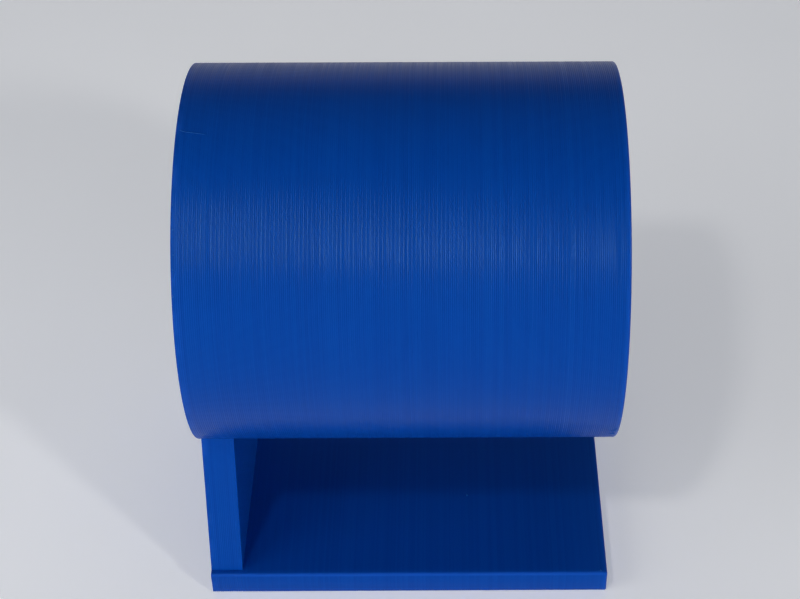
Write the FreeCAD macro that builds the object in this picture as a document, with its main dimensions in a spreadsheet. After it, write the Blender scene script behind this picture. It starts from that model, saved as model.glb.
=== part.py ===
import FreeCAD, Part
import math
import os
import Sketcher

# A display stand for a closed wrist strap, printed as one piece of plastic.
# A hollow round drum is held at its left end by a side plate, which rises from a flat base.
# X runs along the drum towards its free end, -Y is the front and Z is up.
# The origin lies on the table, under the middle of the base.

node_name = "stand_body"

# Every size that can be set by itself: its name, its value in mm and what it measures.
driving_sizes = [
    ("stand_width", 66.0, "along the drum, from the side plate's outer face to the free end"),
    ("drum_diameter", 60.0, "outside of the drum, about the girth of a wrist"),
    ("drum_wall", 3.0, "wall of the hollow drum"),
    ("axis_height", 52.0, "drum axis above the table"),
    ("plate_thickness", 5.2, "side plate, which also closes the drum's left end"),
    ("plate_top_width", 28.0, "side plate front to back at the height of the drum axis"),
    ("base_depth", 54.0, "base front to back, and the side plate at the table"),
    ("base_thickness", 4.5, "base plate"),
    ("corner_radius", 0.4, "rounding of the base's long edges, where the print path turns"),
    ("rim_radius", 0.3, "rounding of the edges at the free end, where the print ends"),
]

# Two coordinates closer than this, in mm, are the same, and so are volumes within this share.
same_place = 1e-4
same_share = 1e-3

# How a sketch names the start, end and centre of its lines and circles, and its own origin and upright axis.
start_point, end_point, centre_point = 1, 2, 3
sketch_origin, upright_axis = -1, -2


def make_sheet(doc):
    """Puts the driving sizes into the document's spreadsheet, each with its alias."""
    sheet = doc.addObject("Spreadsheet::Sheet", "Sizes")
    for row, (alias, value, meaning) in enumerate(driving_sizes, start=1):
        sheet.set(f"A{row}", alias.replace("_", " "))
        sheet.set(f"B{row}", str(value))
        sheet.setAlias(f"B{row}", alias)
        sheet.set(f"C{row}", meaning)
    doc.recompute()


def value_of(item, expression):
    """Works out what an expression on the spreadsheet comes to now."""
    return float(item.evalExpression(expression))


def make_sketch(body, name, station):
    """Starts a sketch across the drum at a station along X. Its x is the part's Y, its y is Z."""
    cross_plane = next(item for item in body.Origin.OriginFeatures if item.Role == "YZ_Plane")
    sketch = body.newObject("Sketcher::SketchObject", name)
    sketch.AttachmentSupport = [(cross_plane, "")]
    sketch.MapMode = "FlatFace"
    sketch.setExpression("AttachmentOffset.Base.z", station)
    return sketch


def add_dimension(sketch, label, expression, kind, *where):
    """Adds a dimension to the sketch and ties it to the spreadsheet."""
    index = sketch.addConstraint(Sketcher.Constraint(kind, *where, value_of(sketch, expression)))
    sketch.renameConstraint(index, label)
    sketch.setExpression(f"Constraints.{label}", expression)


def draw_trapezoid(sketch, foot, top, rise):
    """Draws a trapezoid that stands on the table line, the same to the front and the back."""
    half_foot = value_of(sketch, foot) / 2
    half_top = value_of(sketch, top) / 2
    height = value_of(sketch, rise)
    corners = [(-half_foot, 0), (half_foot, 0), (half_top, height), (-half_top, height)]
    points = [FreeCAD.Vector(x, y, 0) for x, y in corners]
    sides = [
        sketch.addGeometry(Part.LineSegment(start, end), False)
        for start, end in zip(points, points[1:] + points[:1])
    ]
    for side, following in zip(sides, sides[1:] + sides[:1]):
        joined = Sketcher.Constraint("Coincident", side, end_point, following, start_point)
        sketch.addConstraint(joined)
    foot_line, back_line, top_line, _ = sides
    foot_ends = (foot_line, start_point, foot_line, end_point)
    top_ends = (top_line, end_point, top_line, start_point)
    sketch.addConstraint(Sketcher.Constraint("Horizontal", foot_line))
    sketch.addConstraint(Sketcher.Constraint("Symmetric", *foot_ends, sketch_origin, start_point))
    sketch.addConstraint(Sketcher.Constraint("Symmetric", *top_ends, upright_axis))
    add_dimension(sketch, "foot", foot, "DistanceX", *foot_ends)
    add_dimension(sketch, "top", top, "DistanceX", *top_ends)
    add_dimension(sketch, "rise", rise, "DistanceY", back_line, start_point, back_line, end_point)


def draw_circle(sketch, height, diameter):
    """Draws a circle about the drum axis."""
    centre = FreeCAD.Vector(0, value_of(sketch, height), 0)
    along = FreeCAD.Vector(0, 0, 1)
    circle = sketch.addGeometry(Part.Circle(centre, along, value_of(sketch, diameter) / 2), False)
    centred = Sketcher.Constraint("PointOnObject", circle, centre_point, upright_axis)
    sketch.addConstraint(centred)
    lift = (sketch_origin, start_point, circle, centre_point)
    add_dimension(sketch, "height", height, "DistanceY", *lift)
    add_dimension(sketch, "across", diameter, "Diameter", circle)


def extrude(body, kind, name, sketch, length):
    """Pads or pockets a sketch. A pad grows towards +X and a pocket cuts towards -X."""
    feature = body.newObject(kind, name)
    feature.Profile = sketch
    feature.setExpression("Length", length)
    body.Tip = feature
    body.Document.recompute()
    return feature


def round_edges(body, name, chosen, radius):
    """Rounds those edges of the body's last feature for which chosen(edge) holds."""
    before = body.Tip
    edges = enumerate(before.Shape.Edges, start=1)
    names = [f"Edge{number}" for number, edge in edges if chosen(edge)]
    rounding = body.newObject("PartDesign::Fillet", name)
    rounding.Base = (before, names)
    rounding.setExpression("Radius", radius)
    body.Tip = rounding
    body.Document.recompute()


def check_hollow(before, after, diameter, depth):
    """Stops if the hollow's cut didn't take its whole cylinder out of the drum."""
    removed = before.Shape.Volume - after.Shape.Volume
    expected = math.pi * (value_of(after, diameter) / 2) ** 2 * value_of(after, depth)
    if abs(removed - expected) > expected * same_share:
        raise RuntimeError(f"the hollow took {removed:.0f} cubic mm and not {expected:.0f}")


def build_stand(doc):
    """Builds the stand in the order base, side plate, drum, hollow, rounded edges."""
    body = doc.addObject("PartDesign::Body", node_name)
    body.Label = node_name
    left_end = "-Sizes.stand_width / 2"
    free_end = "Sizes.stand_width / 2"

    base_outline = make_sketch(body, "base_outline", left_end)
    draw_trapezoid(base_outline, "Sizes.base_depth", "Sizes.base_depth", "Sizes.base_thickness")
    extrude(body, "PartDesign::Pad", "base_plate", base_outline, "Sizes.stand_width")

    # The plate's front and back edges rise from the base's lower corners and lean in to the drum.
    plate_outline = make_sketch(body, "plate_outline", left_end)
    draw_trapezoid(plate_outline, "Sizes.base_depth", "Sizes.plate_top_width", "Sizes.axis_height")
    extrude(body, "PartDesign::Pad", "side_plate", plate_outline, "Sizes.plate_thickness")

    # The drum's left end lies flush with the side plate, and its free end with the base.
    drum_outline = make_sketch(body, "drum_outline", left_end)
    draw_circle(drum_outline, "Sizes.axis_height", "Sizes.drum_diameter")
    drum = extrude(body, "PartDesign::Pad", "drum", drum_outline, "Sizes.stand_width")

    # The hollow runs from the free end to the side plate.
    hollow_across = "Sizes.drum_diameter - 2 * Sizes.drum_wall"
    hollow_depth = "Sizes.stand_width - Sizes.plate_thickness"
    hollow_outline = make_sketch(body, "hollow_outline", free_end)
    draw_circle(hollow_outline, "Sizes.axis_height", hollow_across)
    hollow = extrude(body, "PartDesign::Pocket", "drum_hollow", hollow_outline, hollow_depth)
    check_hollow(drum, hollow, hollow_across, hollow_depth)

    half_depth = value_of(body, "Sizes.base_depth / 2")
    base_top = value_of(body, "Sizes.base_thickness")
    plate_thickness = value_of(body, "Sizes.plate_thickness")
    end_station = value_of(body, free_end)

    def is_base_corner(edge):
        box = edge.BoundBox
        outermost = math.isclose(abs(box.Center.y), half_depth, abs_tol=same_place)
        return outermost and box.XLength > plate_thickness and box.ZMax < base_top + same_place

    def is_at_free_end(edge):
        return edge.BoundBox.XMin > end_station - same_place

    round_edges(body, "base_corners", is_base_corner, "Sizes.corner_radius")
    round_edges(body, "end_edges", is_at_free_end, "Sizes.rim_radius")
    body.Placement = FreeCAD.Placement()
    return body


def check_document(doc, body):
    """Stops before anything is written if a feature failed or the solid is bad."""
    for item in doc.Objects:
        if "Invalid" in item.State or "Error" in item.State:
            raise RuntimeError(f"{item.Label} failed: {item.State}")
    if body.Shape.isNull() or not body.Shape.isValid():
        raise RuntimeError(f"{body.Label} has no valid shape")
    if len(body.Shape.Solids) != 1:
        raise RuntimeError(f"{body.Label} is not one solid")


stand_doc = FreeCAD.newDocument("strap_stand")
make_sheet(stand_doc)
stand_body = build_stand(stand_doc)
stand_doc.recompute()
check_document(stand_doc, stand_body)

os.makedirs("parts", exist_ok=True)
stand_body.Shape.exportStep(os.path.join("parts", node_name + ".step"))

box = stand_body.Shape.optimalBoundingBox(False)
print(f"{node_name}: {box.XLength:.2f} x {box.YLength:.2f} x {box.ZLength:.2f} mm")
print(f"volume {stand_body.Shape.Volume:.0f} cubic mm, {len(stand_body.Shape.Faces)} faces")
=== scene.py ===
import math

import bmesh
import bpy
import numpy as np
from mathutils import Matrix, Vector


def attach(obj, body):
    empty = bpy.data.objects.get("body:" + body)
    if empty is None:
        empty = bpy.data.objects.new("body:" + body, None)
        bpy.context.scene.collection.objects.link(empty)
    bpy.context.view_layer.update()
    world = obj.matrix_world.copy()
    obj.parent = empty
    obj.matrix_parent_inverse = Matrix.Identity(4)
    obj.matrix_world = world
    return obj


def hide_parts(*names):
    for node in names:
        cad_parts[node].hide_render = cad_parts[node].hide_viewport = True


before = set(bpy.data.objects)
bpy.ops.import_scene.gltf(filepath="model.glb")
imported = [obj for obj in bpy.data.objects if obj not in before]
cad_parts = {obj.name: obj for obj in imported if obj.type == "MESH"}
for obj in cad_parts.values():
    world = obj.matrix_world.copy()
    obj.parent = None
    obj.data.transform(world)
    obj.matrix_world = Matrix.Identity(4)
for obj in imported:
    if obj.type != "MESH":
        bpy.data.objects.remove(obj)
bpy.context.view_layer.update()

# A blue printed stand for a closed wrist strap: a hollow drum on a side plate that rises from a
# flat base. It was printed standing on its left face, so its layers lie across X and every wall
# shows their edges.
# Sizes are in millimetres unless a note says otherwise. The finished meshes are in metres.
millimetre = 0.001
samePoint = 5e-7  # metres. Points closer than this become one
sameStation = 1e-7  # metres. An edge whose ends lie closer than this along X runs round a layer

cameraView = {
    "place": (0.0067, -0.21178, 0.22462),  # metres
    "forward": (0.0024, 0.7649, -0.64414),
    "up": (0.00425, 0.64413, 0.76491),
    "sensor": 36.0,
    "lens": 76.598,
    "shift": (-0.06545, -0.02776),
    "nearest": 0.01,  # metres
}


def makeCamera(view):
    # The camera's axes are its right, its up and the reverse of where it looks.
    forward = Vector(view["forward"]).normalized()
    right = forward.cross(Vector(view["up"])).normalized()
    up = right.cross(forward)
    turn = Matrix((right, up, -forward)).transposed().to_4x4()
    data = bpy.data.cameras.new("viewCamera")
    data.sensor_width = view["sensor"]
    data.lens = view["lens"]
    data.shift_x, data.shift_y = view["shift"]
    data.clip_start = view["nearest"]
    camera = bpy.data.objects.new("viewCamera", data)
    camera.matrix_world = Matrix.Translation(view["place"]) @ turn
    bpy.context.scene.collection.objects.link(camera)
    bpy.context.scene.camera = camera


makeCamera(cameraView)
print("camera set")


def gridFaces(rows, columns, start):
    # The four corners of each cell of a grid whose points are counted row by row.
    row, column = np.meshgrid(np.arange(rows - 1), np.arange(columns - 1), indexing="ij")
    first = start + row * columns + column
    return np.stack([first, first + 1, first + columns + 1, first + columns], -1).reshape(-1, 4)


def meshFromPatches(name, patches):
    # Each patch is (points as rows x columns x 3, number of its material). Points that meet become
    # one, cells that shrink to a pole become triangles, and every face turns outwards.
    points, faces, skins, start = [], [], [], 0
    for surface, skin in patches:
        rows, columns = surface.shape[:2]
        points.append(surface.reshape(-1, 3))
        faces.append(gridFaces(rows, columns, start))
        skins.append(np.full(len(faces[-1]), skin, np.int32))
        start += rows * columns
    places = np.concatenate(points) * millimetre
    mesh = bpy.data.meshes.new(name)
    mesh.from_pydata(places.tolist(), [], np.concatenate(faces).tolist())
    mesh.polygons.foreach_set("material_index", np.concatenate(skins))
    work = bmesh.new()
    work.from_mesh(mesh)
    bmesh.ops.remove_doubles(work, verts=work.verts, dist=samePoint)
    bmesh.ops.recalc_face_normals(work, faces=work.faces)
    openEdges = sum(len(edge.link_faces) != 2 for edge in work.edges)
    work.to_mesh(mesh)
    work.free()
    mesh.shade_smooth()
    triangles = len(mesh.loops) - 2 * len(mesh.polygons)
    print(f"{name}: {triangles} triangles, {openEdges} open edges")
    return mesh


def sharperThan(mesh, angle):
    # True for each edge whose faces meet at more than the angle.
    mesh.set_sharp_from_angle(angle=math.radians(angle))
    sharp = np.empty(len(mesh.edges), bool)
    mesh.edges.foreach_get("use_edge_sharp", sharp)
    return sharp


def sharpenCreases(mesh, angle, layerAngle):
    # An edge is sharp where its faces meet at more than the angle, or where they wear different
    # materials. For an edge that runs round a layer, at one x, the smaller layer angle is enough.
    place = np.empty(len(mesh.vertices) * 3, np.float32)
    mesh.vertices.foreach_get("co", place)
    ends = np.empty(len(mesh.edges) * 2, np.int32)
    mesh.edges.foreach_get("vertices", ends)
    endX = place.reshape(-1, 3)[ends.reshape(-1, 2), 0]
    aroundLayer = np.abs(endX[:, 0] - endX[:, 1]) < sameStation
    sharp = sharperThan(mesh, angle) | (aroundLayer & sharperThan(mesh, layerAngle))
    edgeOfLoop = np.empty(len(mesh.loops), np.int32)
    mesh.loops.foreach_get("edge_index", edgeOfLoop)
    sides = np.empty(len(mesh.polygons), np.int32)
    mesh.polygons.foreach_get("loop_total", sides)
    skins = np.empty(len(mesh.polygons), np.int32)
    mesh.polygons.foreach_get("material_index", skins)
    skinOfLoop = np.repeat(skins, sides)
    lowest = np.full(len(mesh.edges), skins.max(), np.int32)
    highest = np.full(len(mesh.edges), skins.min(), np.int32)
    np.minimum.at(lowest, edgeOfLoop, skinOfLoop)
    np.maximum.at(highest, edgeOfLoop, skinOfLoop)
    mesh.edges.foreach_set("use_edge_sharp", sharp | (lowest != highest))


# The printed stand, as one closed surface.

stand = {
    "leftEnd": -33.0,  # the face that lay on the print bed
    "plateFace": -27.8,  # inner face of the side plate
    "freeEnd": 33.0,
    "axisHeight": 52.0,
    "drumRadius": 30.0,
    "hollowRadius": 27.0,
    "halfDepth": 27.0,  # base, from its middle to its front
    "baseTop": 4.5,
    "lean": 0.25,  # the plate's edges lean in by this much for each mm of height
    "cornerRound": 0.4,
    "rimRound": 0.3,
    "creaseAngle": 40,  # degrees, from which an edge is a crease
    # Radii of the mesh's rings between the edges of the round flat faces.
    "bedRings": (0, 8, 16, 24, 29),
    "hollowRings": (22, 15, 8, 0),
    "endRings": (29, 28),
}

layers = {
    "height": 0.3,
    "groove": 0.036,  # depth of the groove between two layers
    "pairing": 0.14,  # share by which every second groove is deeper, and the others shallower
    "step": 0.013,  # how far a layer can lie back from its neighbours
    "sway": 0.003,  # quick waves round each layer, of which each has its own
    "swayTurns": (9, 16),  # how many of them go round
    "wave": 0.003,  # slow waves, which go on from layer to layer
    "waveTurns": (2, 5, 11),
    "drift": 0.12,  # how much the slow waves turn from one layer to the next
    "plateShare": 0.8,  # how much of groove, step and sway the plate's straight edges show
    "baseShare": 0.15,  # and how much the base shows
    "edgeAngle": 6,  # degrees, from which the edge of a layer is a crease
    "seamTurn": 296.0,  # degrees round the drum from its lowest line, towards the front
    "seamRise": 0.09,  # how high its beads stand
    "seamWidth": 0.28,  # half of their width
    "seamPoints": (-2.5, -1.0, 0.0, 1.0, 2.5),  # mesh points across the seam, in widths
    "seamClear": 3.5,  # widths within which they take the place of the drum's other points
    "seed": 41,
}

# Cells along each part of the outlines, and along the hollow.
spans = {"lower": 18, "outer": 62, "lean": 8, "side": 2, "corner": 3, "hollow": 24}


def circleLine(turn, radius):
    # A circle about the drum axis. The turn starts at the lowest point and goes towards the front.
    # Returns the points as (y, z) and the outward normals.
    outward = np.stack([-np.sin(turn), -np.cos(turn)], -1)
    return outward * radius + [0.0, stand["axisHeight"]], outward


def straightLine(start, end, cells, normal):
    # start * (1 - share) + end * share, with the same normal all along.
    share = np.linspace(0.0, 1.0, cells + 1)[:, None]
    line = np.array(start) * (1 - share) + np.array(end) * share
    return line, np.broadcast_to(normal, line.shape)


def cornerLine(centre, fromAngle, toAngle, cells):
    # A small quarter circle. Angle 0 points along +y and 90 along +z.
    angle = np.radians(np.linspace(fromAngle, toAngle, cells + 1))
    outward = np.stack([np.cos(angle), np.sin(angle)], -1)
    return outward * stand["cornerRound"] + centre, outward


def chain(*lines):
    # Joins lines end to start into one, and keeps the earlier line's normal where two meet.
    points = [lines[0][0]] + [points[1:] for points, _ in lines[1:]]
    normals = [lines[0][1]] + [normals[1:] for _, normals in lines[1:]]
    return np.concatenate(points), np.concatenate(normals)


def backwards(line):
    return line[0][::-1], line[1][::-1]


def mirrored(line):
    # The same line on the other side of y = 0, in the opposite direction.
    flip = np.array([-1.0, 1.0])
    return line[0][::-1] * flip, line[1][::-1] * flip


def findMeeting():
    # Where a leaning edge y = half depth - lean * z meets the drum's circle, as a turn from the
    # circle's lowest point.
    half, lean = stand["halfDepth"], stand["lean"]
    height, radius = stand["axisHeight"], stand["drumRadius"]
    a = 1 + lean**2
    b = -2 * (height + half * lean)
    c = half**2 + height**2 - radius**2
    z = (-b - math.sqrt(b * b - 4 * a * c)) / (2 * a)
    return math.atan2(half - lean * z, height - z)


def drumTurns(meeting):
    # Turns round the drum: the arc that faces the base, and the rest, with closer points at the
    # seam.
    lower = np.linspace(-meeting, meeting, spans["lower"] + 1)
    outer = np.linspace(meeting, 2 * math.pi - meeting, spans["outer"] + 1)
    seam = math.radians(layers["seamTurn"])
    width = layers["seamWidth"] / stand["drumRadius"]
    close = seam + width * np.array(layers["seamPoints"])
    outer = outer[np.abs(outer - seam) > layers["seamClear"] * width]
    return lower, np.sort(np.concatenate([outer, close]))


def layerStations(start, end):
    # Places along X, three a layer: the groove, then two on the layer's edge. Groove is 1 at a
    # groove and 0 elsewhere, and inside is 0 at both ends, where the relief stops, and 1 between.
    count = round((end - start) / layers["height"])
    number = np.repeat(np.arange(count), 3)
    third = np.tile(np.arange(3) / 3.0, count)
    x = np.append(start + (number + third) * (end - start) / count, end)
    groove = np.append(np.where(third == 0, 1.0, 0.0), 0.0)
    inside = np.ones(len(x))
    inside[[0, -1]] = 0.0
    return {"x": x, "groove": groove, "number": np.append(number, count - 1), "inside": inside}


def layerRelief(stations, around, chance, share):
    # How far each point lies back from the true surface: a share, which may differ from point to
    # point, of groove * (1 + or - pairing) + the layer's own step + its sways
    # 1 + cos(turns * around + phase), and then waves of the same form, whose phases drift from
    # layer to layer.
    number = stations["number"]
    count = number.max() + 1
    step = chance.uniform(0.0, layers["step"], count)[number][:, None]
    paired = 1 + layers["pairing"] * (1 - 2 * (number % 2))
    depth = layers["groove"] * (stations["groove"] * paired)[:, None] + step
    sway = layers["sway"] / len(layers["swayTurns"])
    for turns in layers["swayTurns"]:
        phase = chance.uniform(0, 2 * math.pi, count)[number][:, None]
        depth = depth + sway * (1 + np.cos(turns * around[None, :] + phase))
    depth = depth * share
    wave = layers["wave"] / len(layers["waveTurns"])
    for turns in layers["waveTurns"]:
        phase = chance.uniform(0, 2 * math.pi) + np.cumsum(chance.normal(0, layers["drift"], count))
        depth = depth + wave * (1 + np.cos(turns * around[None, :] + phase[number][:, None]))
    return depth * stations["inside"][:, None]


def loft(line, normals, x, inset):
    # Point (i, j) lies at station x(i), on the line's point j moved in along its normal by
    # inset(i, j).
    moved = line[None] - normals[None] * np.broadcast_to(inset, (len(x), len(line)))[..., None]
    along = np.broadcast_to(np.asarray(x)[:, None, None], (len(x), len(line), 1))
    return np.concatenate([along, moved], -1)


def atStation(flat, x):
    # A flat surface's (y, z) points at station x, as (x, y, z).
    return np.concatenate([np.full(flat.shape[:2] + (1,), x), flat], -1)


def between(first, second, cells, x):
    # A flat ruled surface at station x: first * (1 - share) + second * share.
    shares = np.linspace(0, 1, cells + 1)[:, None, None]
    return atStation(first[None] * (1 - shares) + second[None] * shares, x)


def rings(circle, radii, x):
    # A flat disc or ring at station x: the drum's circle shrunk to each radius about its centre.
    centre = np.array([0.0, stand["axisHeight"]])
    shares = np.asarray(radii)[:, None, None] / stand["drumRadius"]
    return atStation(centre + (circle - centre)[None] * shares, x)


def seamRise(turn, x):
    # A row of low beads where each layer's print began: a narrow bell exp(-away ** 2) across the
    # seam, times 0.75 + 0.25 cos(9.1x) cos(2.3x + 1) along it.
    seam = math.radians(layers["seamTurn"])
    away = (turn - seam) * stand["drumRadius"] / layers["seamWidth"]
    bead = 0.75 + 0.25 * np.cos(9.1 * x) * np.cos(2.3 * x + 1.0)
    return layers["seamRise"] * bead[:, None] * np.exp(-(away**2))[None, :]


def standPatches():
    chance = np.random.default_rng(layers["seed"])
    left, face, free = stand["leftEnd"], stand["plateFace"], stand["freeEnd"]
    radius, hollow = stand["drumRadius"], stand["hollowRadius"]
    half, top = stand["halfDepth"], stand["baseTop"]
    small, rim = stand["cornerRound"], stand["rimRound"]
    wall, topSkin, bedSkin, hollowWall = range(4)  # numbers of the stand's materials

    # Outlines across the drum, as (y, z).
    lowerTurn, outerTurn = drumTurns(findMeeting())
    lower, outer = circleLine(lowerTurn, radius), circleLine(outerTurn, radius)
    foot = half - stand["lean"] * top  # how far from the middle the leaning edge leaves the base
    frontCorner = cornerLine((-half + small, top - small), 180, 90, spans["corner"])
    frontLedge = straightLine((-half + small, top), (-foot, top), 1, (0.0, 1.0))
    frontTop = chain(frontCorner, frontLedge)
    shoulder = straightLine((-foot, top), (foot, top), spans["lower"], (0.0, 1.0))
    topLine = chain(frontTop, shoulder, mirrored(frontTop))
    # The bottom line is the top line's mirror image about the base's middle height.
    turnOver = np.array([1.0, -1.0])
    bottomLine = topLine[0] * turnOver + [0.0, top], topLine[1] * turnOver
    backSide = straightLine((half, top - small), (half, small), spans["side"], (1.0, 0.0))
    frontSide = mirrored(backSide)
    leanNormal = np.array([-1.0, stand["lean"]]) / math.hypot(1.0, stand["lean"])
    frontLean = straightLine((-foot, top), outer[0][0], spans["lean"], leanNormal)

    # The plate's outline: over the drum, down its back edge, round the base and up its front edge.
    plateLoop = chain(
        outer, mirrored(frontLean), mirrored(frontTop), backSide,
        backwards(bottomLine), frontSide, frontTop, frontLean,
    )
    baseLoop = chain(topLine, backSide, backwards(bottomLine), frontSide)
    drumLoop = chain(lower, outer)

    patches = []
    plateStations = layerStations(left, face)
    restStations = layerStations(face, free - rim)

    # The rim at the free end is a quarter circle, in steps of 30 degrees. The wall ends at its 0.
    angle = np.radians([30, 60, 90])
    rimX = free - rim + rim * np.sin(angle)
    rimInset = rim * (1 - np.cos(angle))

    # Where the plate meets the drum, their common arc is a groove like the others. Its depth grows
    # from zero at both ends of the arc to the full one over a twelfth of it.
    fromMiddle = np.abs(np.linspace(-1, 1, len(outerTurn)))
    arcInset = np.clip(6 * (1 - fromMiddle), 0, 1) * (layers["groove"] + layers["step"] / 2)

    def addWalls(loop, stations, share, rise=None, rimmed=False, arc=None):
        # Rise stands out from the loop's first points. Arc is (station, first point) of the arc
        # that the plate and the drum have in common.
        line, normals = loop[0], loop[1].copy()
        normals[-1] = normals[0]  # the loop ends where it starts
        lengths = np.append(0.0, np.cumsum(np.linalg.norm(np.diff(line, axis=0), axis=1)))
        around = 2 * math.pi * lengths / lengths[-1]
        relief = layerRelief(stations, around, chance, share)
        if rise is not None:
            relief[:, : rise.shape[1]] -= rise * stations["inside"][:, None]
        if arc is not None:
            station, firstPoint = arc
            relief[station, firstPoint : firstPoint + len(arcInset)] = arcInset
        relief[:, -1] = relief[:, 0]
        x = stations["x"]
        if rimmed:
            x = np.concatenate([x, rimX])
            relief = np.concatenate([relief, np.repeat(rimInset[:, None], len(line), axis=1)])
        patches.append((loft(line, normals, x, relief), wall))

    # Walls: the plate's, then the drum's and the base's beside each other.
    onArc = np.arange(len(plateLoop[0])) < len(outerTurn)
    plateShare = np.where(onArc, 1.0, layers["plateShare"])
    plateRise = seamRise(outerTurn, plateStations["x"])
    addWalls(plateLoop, plateStations, plateShare, plateRise, arc=(-1, 0))
    drumTurn = np.concatenate([lowerTurn, outerTurn[1:]])
    drumRise = seamRise(drumTurn, restStations["x"])
    addWalls(drumLoop, restStations, 1.0, drumRise, rimmed=True, arc=(0, len(lowerTurn) - 1))
    addWalls(baseLoop, restStations, layers["baseShare"], rimmed=True)

    # The left face: disc, web between drum and base, base.
    circle = drumLoop[0]
    web = shoulder[0], lower[0][::-1]
    patches.append((rings(circle, [*stand["bedRings"], radius], left), bedSkin))
    patches.append((between(*web, spans["lean"], left), bedSkin))
    patches.append((between(bottomLine[0], topLine[0], spans["side"], left), bedSkin))

    # Faces that were printed last: the plate's inner face, the hollow's floor, and the free ends
    # of the drum and the base.
    patches.append((between(*web, spans["lean"], face), topSkin))
    patches.append((rings(circle, [hollow, *stand["hollowRings"]], face), topSkin))
    endRadii = [radius - rim, *stand["endRings"], hollow + rim]
    patches.append((rings(circle, endRadii, free), topSkin))
    endTop = topLine[0] - topLine[1] * rim
    endBottom = bottomLine[0] - bottomLine[1] * rim
    patches.append((between(endBottom, endTop, spans["side"], free), topSkin))

    # The hollow's wall, from the rounded rim to the plate.
    innerLoop = circleLine(drumTurn, hollow)
    innerX = np.concatenate([rimX[::-1], np.linspace(free - rim, face, spans["hollow"] + 1)])
    innerInset = np.concatenate([-rimInset[::-1], np.zeros(spans["hollow"] + 1)])
    patches.append((loft(*innerLoop, innerX, innerInset[:, None]), hollowWall))
    return patches


standMesh = meshFromPatches("printedStand", standPatches())
sharpenCreases(standMesh, stand["creaseAngle"], layers["edgeAngle"])
printedStand = bpy.data.objects.new("printedStand", standMesh)
bpy.context.scene.collection.objects.link(printedStand)
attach(printedStand, "root")
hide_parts("stand_body")


# Stray plastic: hairs that the nozzle drew over the surface, and beads where a layer began or
# ended.

strays = {
    # Hairs, through points given as (x, turn round the drum in degrees).
    "hairs": [
        [(-32.5, 165.3), (-31.8, 164.7), (-31.2, 164.5), (-30.2, 164.15), (-28.5, 163.65)],
        [(31.1, 63.0), (31.7, 60.4), (32.1, 59.4), (32.4, 60.9), (32.6, 62.9)],
        [(31.6, 55.7), (32.1, 56.3), (32.5, 55.7)],
    ],
    "hairRadius": 0.05,
    # Beads as (x, turn, radius).
    "beads": [
        (32.7, 72.0, 0.10), (-32.8, 141.9, 0.10), (-32.8, 139.1, 0.08), (-32.7, 135.0, 0.11),
        (-32.6, 128.1, 0.08), (-32.7, 124.0, 0.09), (-32.8, 116.5, 0.10), (-32.8, 109.0, 0.07),
    ],
    # Flecks on the base's top as (x, y, radius).
    "flecks": [(31.9, -26.4, 0.16), (9.8, -9.3, 0.16)],
    "beadHeight": 0.6,  # how high a bead stands, as a share of its radius
    "lumps": 0.15,  # how far it is from round, as a share of its radius
    "seed": 7,
}


def onDrum(x, turn):
    # The point of the drum's surface at x and turn, in degrees, and the outward normal there.
    turn = np.radians(turn)
    outward = np.stack([np.zeros_like(turn), -np.sin(turn), -np.cos(turn)], -1)
    foot = np.stack([x, np.zeros_like(turn), np.full_like(turn, stand["axisHeight"])], -1)
    return foot + outward * stand["drumRadius"], outward


def hairPatch(points, rows=25, columns=9):
    # x and turn are polynomials in u through the points. The tube about that line has the radius
    # r * (1 - (2u - 1) ** 6) ** 0.5, so that both its ends close in a point.
    points = np.array(points)
    u = np.linspace(0, 1, rows)
    known = np.linspace(0, 1, len(points))
    fitted = np.polynomial.polynomial.polyfit(known, points, min(len(points) - 1, 3))
    x, turn = np.polynomial.polynomial.polyval(u, fitted)
    line, outward = onDrum(x, turn)
    along = np.gradient(line, axis=0)
    along /= np.linalg.norm(along, axis=1, keepdims=True)
    sideways = np.cross(along, outward)
    radius = strays["hairRadius"] * np.sqrt(np.clip(1 - (2 * u - 1) ** 6, 0, 1))
    v = np.linspace(0, 2 * math.pi, columns)[None, :, None]
    across = np.cos(v) * sideways[:, None] + np.sin(v) * outward[:, None]
    return line[:, None] + radius[:, None, None] * across


def beadPatch(centre, outward, radius, phase, rows=9, columns=13):
    # A lumpy flattened ball: r * (1 + lumps * sin(3v + phase) sin(u)) about the centre, with its
    # height along the outward normal made a share of that.
    u = np.linspace(0, math.pi, rows)[:, None, None]
    v = np.linspace(0, 2 * math.pi, columns)[None, :, None]
    first = np.array([1.0, 0.0, 0.0])
    second = np.cross(outward, first)
    lump = radius * (1 + strays["lumps"] * np.sin(3 * v + phase) * np.sin(u))
    flat = np.sin(u) * (np.cos(v) * first + np.sin(v) * second)
    return centre + lump * (flat + strays["beadHeight"] * np.cos(u) * outward)


def strayPatches():
    # Hairs, beads and flecks. Each bead's and fleck's lumps have their own phase.
    chance = np.random.default_rng(strays["seed"])
    patches = [hairPatch(points) for points in strays["hairs"]]
    for x, turn, radius in strays["beads"]:
        centre, outward = onDrum(np.array(x), np.array(float(turn)))
        patches.append(beadPatch(centre, outward, radius, chance.uniform(0, 6)))
    upwards = np.array([0.0, 0.0, 1.0])
    for x, y, radius in strays["flecks"]:
        centre = np.array([x, y, stand["baseTop"]])
        patches.append(beadPatch(centre, upwards, radius, chance.uniform(0, 6)))
    return [(patch, 0) for patch in patches]


strayMesh = meshFromPatches("strayPlastic", strayPatches())
strayPlastic = bpy.data.objects.new("strayPlastic", strayMesh)
bpy.context.scene.collection.objects.link(strayPlastic)
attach(strayPlastic, "root")
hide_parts("stand_body")


# Plastic. Each finish is the same blue, with the marks that its faces got in print. The walls also
# get a paler blue painted along some edges as a highlight.

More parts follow.
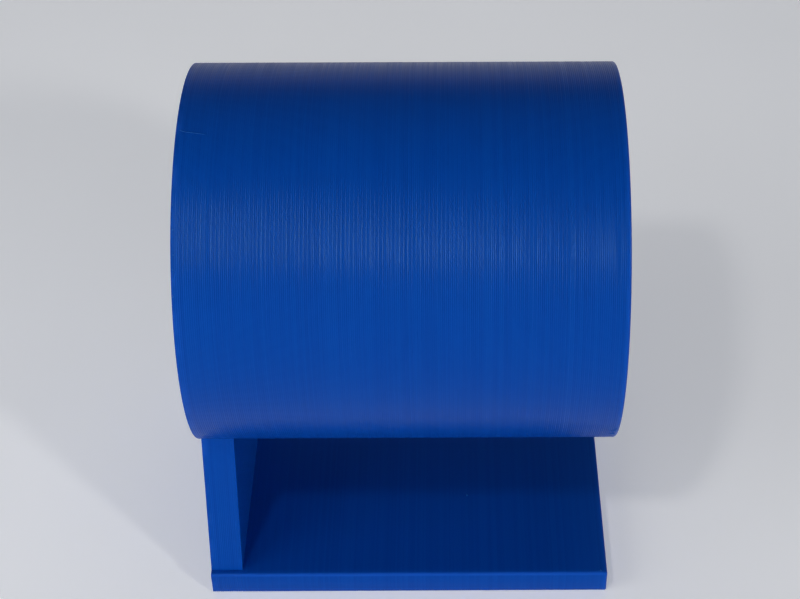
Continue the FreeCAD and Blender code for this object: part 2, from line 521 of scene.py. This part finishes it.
plastic = {
    "blue": (0.0005, 0.054, 0.345),
    "paler": (0.001, 0.060, 0.365),
    "deeper": (0.0005, 0.049, 0.325),
    "cloudScale": 45.0,  # noise scales are waves in a metre
    "ior": 1.46,
    "specular": 0.125,
    "mirrorTint": (0.5, 0.93, 1.0, 1.0),  # of what the plastic mirrors, but not at grazing angles
    # Walls.
    "roughness": 0.32,
    "roughnessSpread": 0.06,  # from layer to layer, and once more from smear to smear
    "smearScale": 160.0,
    "grainAcross": 6.0,  # waves of the grain in a millimetre along X
    "grainAlong": 0.35,  # and round the layer
    "grainDepth": 0.01,
    "hollowRidge": 2.2,  # layer edges inside the hollow, in grain depths
    # Painted highlights along edges: a paler blue where an edge catches light.
    "paintedHighlight": (0.007, 0.078, 0.45),  # the paler blue painted as a highlight where an edge catches light
    "highlightReach": 0.6,  # how far that shows from the base's long edges
    "highlightEnd": 0.8,  # and from both ends
    "highlightLong": 0.9,  # how strong it is on the long edges
    "highlightFree": 0.55,  # at the free end
    "highlightLeft": 0.7,  # and at the left end
    "patchScale": 240.0,
    # Flat ends.
    "lineWidth": 0.42,  # one pass of the nozzle
    "outlines": 3,  # passes that follow the outline, before the slanted fill starts
    "topDepth": 0.022,  # between two passes on faces that were printed last
    "topRoughness": 0.34,
    "bedDepth": 0.007,  # and on the face that lay on the bed
    "bedRoughness": 0.27,
    "flatSpread": 0.14,  # of the roughness
    "fineScale": 900.0,
    # Stray plastic.
    "strayPale": (0.02, 0.13, 0.44),
    "strayDeep": (0.008, 0.09, 0.39),
    "strayRoughness": 0.35,
    "straySpread": 0.2,
    "mottleScale": 2500.0,
}


def addNode(tree, kind, sockets=None, **settings):
    # A node with its settings. Each socket gets a number, a colour or another node's output.
    node = tree.nodes.new("ShaderNode" + kind)
    for key, value in settings.items():
        setattr(node, key, value)
    for key, value in (sockets or {}).items():
        if isinstance(value, bpy.types.NodeSocket):
            tree.links.new(value, node.inputs[key])
        else:
            node.inputs[key].default_value = value
    return node


def calculate(tree, operation, *values):
    return addNode(tree, "Math", dict(enumerate(values)), operation=operation).outputs[0]


def plus(tree, first, second):
    return calculate(tree, "ADD", first, second)


def minus(tree, first, second):
    return calculate(tree, "SUBTRACT", first, second)


def times(tree, first, second):
    return calculate(tree, "MULTIPLY", first, second)


def timesPlus(tree, value, factor, added):
    return calculate(tree, "MULTIPLY_ADD", value, factor, added)


def larger(tree, first, second):
    return calculate(tree, "MAXIMUM", first, second)


def apart(tree, first, second):
    return calculate(tree, "ABSOLUTE", minus(tree, first, second))


def distance(tree, first, second):
    # The square root of first ** 2 + second ** 2.
    squares = plus(tree, times(tree, first, first), times(tree, second, second))
    return calculate(tree, "SQRT", squares)


def ridgeOver(tree, count):
    # With part running from 0 to 1 over each whole number, 4 * part * (1 - part) is a rounded
    # ridge with a groove on each side.
    part = calculate(tree, "FRACT", count)
    return times(tree, times(tree, part, 4.0), minus(tree, 1.0, part))


def chanceOf(tree, number):
    # A random value from 0 to 1 for each number.
    return addNode(tree, "TexWhiteNoise", {"W": number}, noise_dimensions="1D").outputs["Value"]


def noise(tree, place, scale, detail, roughness):
    sockets = {"Vector": place, "Scale": scale, "Detail": detail, "Roughness": roughness}
    return addNode(tree, "TexNoise", sockets).outputs[0]


def fade(tree, value, full, none):
    # 1 where the value is at full or beyond it, 0 at none, and smooth between.
    sockets = {"Value": value, 1: none, 2: full, 3: 0.0, 4: 1.0}
    return addNode(tree, "MapRange", sockets, interpolation_type="SMOOTHSTEP").outputs[0]


def colourRamp(tree, value, stops, interpolation="LINEAR"):
    # Colours between stops, which are given as (position, colour).
    ramp = addNode(tree, "ValToRGB", {0: value})
    ramp.color_ramp.interpolation = interpolation
    elements = ramp.color_ramp.elements
    elements[0].position, elements[1].position = stops[0][0], stops[-1][0]
    for position, _ in stops[1:-1]:
        elements.new(position)
    for element, (_, colour) in zip(elements, stops):
        element.color = (*colour, 1)
    return ramp.outputs[0]


def startPlastic(name):
    # A Principled material with the plastic's gloss, and the object coordinates in metres and,
    # split, in millimetres.
    material = bpy.data.materials.new(name)
    material.use_nodes = True
    tree = material.node_tree
    shader = tree.nodes["Principled BSDF"]
    shader.inputs["IOR"].default_value = plastic["ior"]
    shader.inputs["Specular IOR Level"].default_value = plastic["specular"]
    shader.inputs["Specular Tint"].default_value = plastic["mirrorTint"]
    place = addNode(tree, "TexCoord").outputs["Object"]
    split = addNode(tree, "SeparateXYZ", {0: place})
    x, y, z = (times(tree, split.outputs[axis], 1 / millimetre) for axis in range(3))
    return material, tree, shader, place, (x, y, z)


def blueTones(tree, place, tone):
    # The tone, from 0 to 1, runs from the deeper to the paler blue, with slow clouds over it.
    clouds = noise(tree, place, plastic["cloudScale"], 3.0, 0.5)
    mixed = times(tree, plus(tree, tone, clouds), 0.5)
    stops = [(0.15, plastic["deeper"]), (0.5, plastic["blue"]), (0.85, plastic["paler"])]
    return colourRamp(tree, mixed, stops)


def paintedEdgeHighlights(tree, place, x, y, z):
    # How much of the painted highlight each place gets: near the base's long upper edges, near the
    # free end, and in patches near the left end.
    reach, end = plastic["highlightReach"], plastic["highlightEnd"]
    across = minus(tree, calculate(tree, "ABSOLUTE", y), stand["halfDepth"])
    above = minus(tree, z, stand["baseTop"])
    longEdge = fade(tree, distance(tree, across, above), reach / 3, reach)
    freeEnd = fade(tree, x, stand["freeEnd"] - end / 2, stand["freeEnd"] - end)
    leftEnd = fade(tree, x, stand["leftEnd"] + end / 2, stand["leftEnd"] + end * 1.5)
    patches = noise(tree, place, plastic["patchScale"], 2.0, 0.5)
    leftEnd = times(tree, leftEnd, fade(tree, patches, 0.7, 0.3))
    freeEnd = times(tree, freeEnd, plastic["highlightFree"])
    leftEnd = times(tree, leftEnd, plastic["highlightLeft"])
    longEdge = times(tree, longEdge, plastic["highlightLong"])
    paintedHighlight = larger(tree, longEdge, larger(tree, freeEnd, leftEnd))
    return times(tree, paintedHighlight, timesPlus(tree, patches, 0.6, 0.7))  # 0.7 to 1.3 of that


def layeredFinish(name, ridges):
    # Walls: each layer has its own tone and gloss, and fine grain runs along it. Ridges are layer
    # edges drawn as relief, in grain depths, for a wall whose mesh hasn't them.
    material, tree, shader, place, (x, y, z) = startPlastic(name)
    count = calculate(tree, "DIVIDE", minus(tree, x, stand["leftEnd"]), layers["height"])
    number = calculate(tree, "FLOOR", count)
    tones = blueTones(tree, place, chanceOf(tree, number))
    # The paler blue near the edges is a painted highlight, mixed over the layers' tones.
    paintedHighlight = paintedEdgeHighlights(tree, place, x, y, z)
    highlighted = addNode(tree, "MixRGB", {0: paintedHighlight, 1: tones, 2: (*plastic["paintedHighlight"], 1)})
    tree.links.new(highlighted.outputs[0], shader.inputs["Base Color"])

    spread = plastic["roughnessSpread"]
    glossOfLayer = chanceOf(tree, plus(tree, number, 0.5))
    smears = noise(tree, place, plastic["smearScale"], 4.0, 0.6)
    gloss = timesPlus(tree, glossOfLayer, spread, plastic["roughness"] - spread)
    gloss = timesPlus(tree, smears, spread, gloss)
    tree.links.new(gloss, shader.inputs["Roughness"])

    # Grain: noise stretched round the layer, many times finer along X.
    stretch = [plastic["grainAcross"], plastic["grainAlong"], plastic["grainAlong"]]
    stretched = [times(tree, axis, factor) for axis, factor in zip((x, y, z), stretch)]
    grainPlace = addNode(tree, "CombineXYZ", dict(enumerate(stretched))).outputs[0]
    height = noise(tree, grainPlace, 1.0, 3.0, 0.55)
    if ridges:
        height = timesPlus(tree, ridgeOver(tree, count), ridges, height)
    sockets = {"Height": height, "Strength": 0.6, "Distance": plastic["grainDepth"] * millimetre}
    bump = addNode(tree, "Bump", sockets)
    tree.links.new(bump.outputs[0], shader.inputs["Normal"])
    return material


def flatFinish(name, depth, roughness):
    # Flat ends: passes that follow the outline, then slanted passes across. The distance to the
    # outline is the least of the distances to the table, the drum's circles, the base's top, the
    # leaning edges and the base's front and back.
    material, tree, shader, place, (_, y, z) = startPlastic(name)
    across = calculate(tree, "ABSOLUTE", y)
    fromAxis = distance(tree, y, minus(tree, z, stand["axisHeight"]))
    leaning = minus(tree, stand["halfDepth"], times(tree, z, stand["lean"]))
    nearest = z
    for away in [
        apart(tree, fromAxis, stand["drumRadius"]),
        apart(tree, fromAxis, stand["hollowRadius"]),
        apart(tree, z, stand["baseTop"]),
        apart(tree, leaning, across),
        minus(tree, stand["halfDepth"], across),
    ]:
        nearest = calculate(tree, "MINIMUM", nearest, away)
    width = plastic["lineWidth"]
    follows = calculate(tree, "LESS_THAN", nearest, width * plastic["outlines"])
    slanted = times(tree, plus(tree, y, z), math.sqrt(0.5))
    measure = timesPlus(tree, minus(tree, nearest, slanted), follows, slanted)
    count = calculate(tree, "DIVIDE", measure, width)
    tones = blueTones(tree, place, chanceOf(tree, calculate(tree, "FLOOR", count)))
    tree.links.new(tones, shader.inputs["Base Color"])

    fine = noise(tree, place, plastic["fineScale"], 4.0, 0.6)
    spread = plastic["flatSpread"]
    gloss = timesPlus(tree, fine, spread, roughness - spread / 2)
    tree.links.new(gloss, shader.inputs["Roughness"])
    height = timesPlus(tree, fine, 0.4, ridgeOver(tree, count))
    sockets = {"Height": height, "Strength": 0.7, "Distance": depth * millimetre}
    bump = addNode(tree, "Bump", sockets)
    tree.links.new(bump.outputs[0], shader.inputs["Normal"])
    return material


def strayFinish(name):
    # Thin plastic lets light through, so it is paler, with fine mottle.
    material, tree, shader, place, _ = startPlastic(name)
    mottle = noise(tree, place, plastic["mottleScale"], 2.0, 0.5)
    tones = colourRamp(tree, mottle, [(0.3, plastic["strayDeep"]), (0.7, plastic["strayPale"])])
    tree.links.new(tones, shader.inputs["Base Color"])
    gloss = timesPlus(tree, mottle, plastic["straySpread"], plastic["strayRoughness"])
    tree.links.new(gloss, shader.inputs["Roughness"])
    return material


# In the order of the material numbers in standPatches.
finishes = [
    layeredFinish("layeredBlue", 0.0),
    flatFinish("topSkinBlue", plastic["topDepth"], plastic["topRoughness"]),
    flatFinish("bedSkinBlue", plastic["bedDepth"], plastic["bedRoughness"]),
    layeredFinish("hollowBlue", plastic["hollowRidge"]),
]
for finish in finishes:
    standMesh.materials.append(finish)
strayMesh.materials.append(strayFinish("strayBlue"))
print("plastic made")


# Floor, light and world.

room = {
    "floorRadius": 3.0,  # metres
    "floorCells": (24, 96),  # outwards and round
    "floorDrop": 0.00003,  # metres below the base's underside
    "floorColour": (0.89, 0.888, 0.885),
    "floorMottle": 0.03,  # how much that varies, as a share
    "floorScale": 9.0,  # waves of its mottle in a metre
    "floorRoughness": 0.9,
    "floorSpecular": 0.05,
    "floorGlow": 0.37,  # what the floor adds where it is seen
    "hazeStart": 0.7,  # metres away, from where the floor fades into the horizon
    "hazeEnd": 2.0,
    "horizon": (0.635, 0.66, 0.725),
    "zenith": (0.03, 0.031, 0.036),
    "horizonTop": 0.10,  # the horizon's colour turns into the zenith's between these heights,
    "zenithFoot": 0.42,  # on a sphere of radius 1
    "worldStrength": 0.77,
}


def makeFloor():
    # A round floor: rings of growing radius r = R * share ** 2 about the origin.
    outwards, sectors = room["floorCells"]
    turn = np.linspace(0, 2 * math.pi, sectors + 1)
    radius = room["floorRadius"] / millimetre * np.linspace(0, 1, outwards + 1) ** 2
    flat = np.stack([radius[:, None] * np.cos(turn), radius[:, None] * np.sin(turn)], -1)
    height = np.full(flat.shape[:2] + (1,), -room["floorDrop"] / millimetre)
    mesh = meshFromPatches("paleFloor", [(np.concatenate([flat, height], -1), 0)])
    floor = bpy.data.objects.new("paleFloor", mesh)
    bpy.context.scene.collection.objects.link(floor)
    mesh.materials.append(floorFinish("paleTable"))


def floorFinish(name):
    material = bpy.data.materials.new(name)
    material.use_nodes = True
    tree = material.node_tree
    shader = tree.nodes["Principled BSDF"]
    shader.inputs["Roughness"].default_value = room["floorRoughness"]
    shader.inputs["Specular IOR Level"].default_value = room["floorSpecular"]
    place = addNode(tree, "TexCoord").outputs["Object"]
    mottle = noise(tree, place, room["floorScale"], 5.0, 0.6)
    spread = room["floorMottle"]
    sockets = {"Value": mottle, 1: 0.3, 2: 0.7, 3: 1 - spread, 4: 1 + spread}
    shade = addNode(tree, "MapRange", sockets).outputs[0]
    sockets = {0: room["floorColour"], "Scale": shade}
    colour = addNode(tree, "VectorMath", sockets, operation="SCALE")
    tree.links.new(colour.outputs[0], shader.inputs["Base Color"])

    # Where the floor is looked at or mirrored it is a little brighter than its light makes it.
    path = addNode(tree, "LightPath")
    seen = larger(tree, path.outputs["Is Camera Ray"], path.outputs["Is Glossy Ray"])
    seen = larger(tree, seen, path.outputs["Is Transmission Ray"])
    glow = times(tree, seen, room["floorGlow"])
    emission = addNode(tree, "Emission", {"Color": (*room["horizon"], 1), "Strength": glow})
    added = addNode(tree, "AddShader", {0: shader.outputs[0], 1: emission.outputs[0]})

    # Far off it fades into the horizon.
    away = addNode(tree, "VectorMath", {0: place}, operation="LENGTH").outputs["Value"]
    far = fade(tree, away, room["hazeEnd"], room["hazeStart"])
    sockets = {"Color": (*room["horizon"], 1), "Strength": room["worldStrength"]}
    haze = addNode(tree, "Emission", sockets)
    faded = addNode(tree, "MixShader", {0: far, 1: added.outputs[0], 2: haze.outputs[0]})
    tree.links.new(faded.outputs[0], tree.nodes["Material Output"].inputs["Surface"])
    return material


def makeWorld():
    # Pale at the horizon, dim overhead, as in a room with pale walls.
    world = bpy.data.worlds.new("paleRoom")
    world.use_nodes = True
    bpy.context.scene.world = world
    tree = world.node_tree
    background = tree.nodes["Background"]
    direction = addNode(tree, "TexCoord").outputs["Generated"]
    height = addNode(tree, "SeparateXYZ", {0: direction}).outputs["Z"]
    stops = [(room["horizonTop"], room["horizon"]), (room["zenithFoot"], room["zenith"])]
    sky = colourRamp(tree, height, stops, "EASE")
    tree.links.new(sky, background.inputs["Color"])
    background.inputs["Strength"].default_value = room["worldStrength"]


# Azimuth is counted from the front, towards +X, and turned is the lamp's own turn about the way
# it shines, all in degrees. Distance and size are metres, and power is watts. A lamp that isn't
# mirrored leaves no highlight, and one that lights nothing leaves only its highlight.
warm, cool, glint = (1.0, 0.99, 0.97), (0.97, 0.985, 1.0), (0.9, 0.97, 1.0)
lampAim = Vector((0, 0, 0.045))

lamps = {
    "rightLamp": {
        "azimuth": 49, "elevation": 26, "turned": 0, "distance": 2.0, "size": (0.16, 0.16),
        "power": 7.2, "colour": warm, "mirrored": True, "lights": True,
    },
    "leftLamp": {
        "azimuth": -26, "elevation": 56, "turned": 0, "distance": 0.51, "size": (0.04, 0.04),
        "power": 0.32, "colour": warm, "mirrored": False, "lights": True,
    },
    "leftFill": {
        "azimuth": -60, "elevation": 27, "turned": 0, "distance": 0.45, "size": (0.3, 0.2),
        "power": 0.43, "colour": cool, "mirrored": False, "lights": True,
    },
    "lowFill": {
        "azimuth": 0, "elevation": 2.8, "turned": 0, "distance": 2.0, "size": (3.2, 0.12),
        "power": 22.8, "colour": cool, "mirrored": False, "lights": True,
    },
    "backFill": {
        "azimuth": 180, "elevation": 60, "turned": 0, "distance": 1.2, "size": (1.0, 1.0),
        "power": 1.7, "colour": cool, "mirrored": False, "lights": True,
    },
    # Both sheens stand where the layers' tilted edges mirror them.
    "rightSheen": {
        "azimuth": 56, "elevation": 24, "turned": 0, "distance": 1.0, "size": (0.13, 0.75),
        "power": 2.5, "colour": glint, "mirrored": True, "lights": False,
    },
    "leftSheen": {
        "azimuth": -64.3, "elevation": 31.8, "turned": 47.5, "distance": 1.0, "size": (0.08, 0.6),
        "power": 4.0, "colour": glint, "mirrored": True, "lights": False,
    },
}


def makeLamp(name, lamp):
    azimuth, elevation = math.radians(lamp["azimuth"]), math.radians(lamp["elevation"])
    level = math.cos(elevation)
    towards = Vector((math.sin(azimuth) * level, -math.cos(azimuth) * level, math.sin(elevation)))
    turn = Matrix.Rotation(math.radians(lamp["turned"]), 3, "Z")
    data = bpy.data.lights.new(name, "AREA")
    data.shape = "RECTANGLE" if lamp["lights"] else "ELLIPSE"
    data.size, data.size_y = lamp["size"]
    data.energy = lamp["power"]
    data.color = lamp["colour"]
    thing = bpy.data.objects.new(name, data)
    thing.location = lampAim + towards * lamp["distance"]
    thing.rotation_euler = (towards.to_track_quat("Z", "Y").to_matrix() @ turn).to_euler()
    thing.visible_camera = False
    thing.visible_glossy = lamp["mirrored"]
    thing.visible_diffuse = lamp["lights"]
    bpy.context.scene.collection.objects.link(thing)


makeFloor()
makeWorld()
for lampName, lampSettings in lamps.items():
    makeLamp(lampName, lampSettings)
print("room made")

bpy.context.scene.view_settings.view_transform = "Standard"
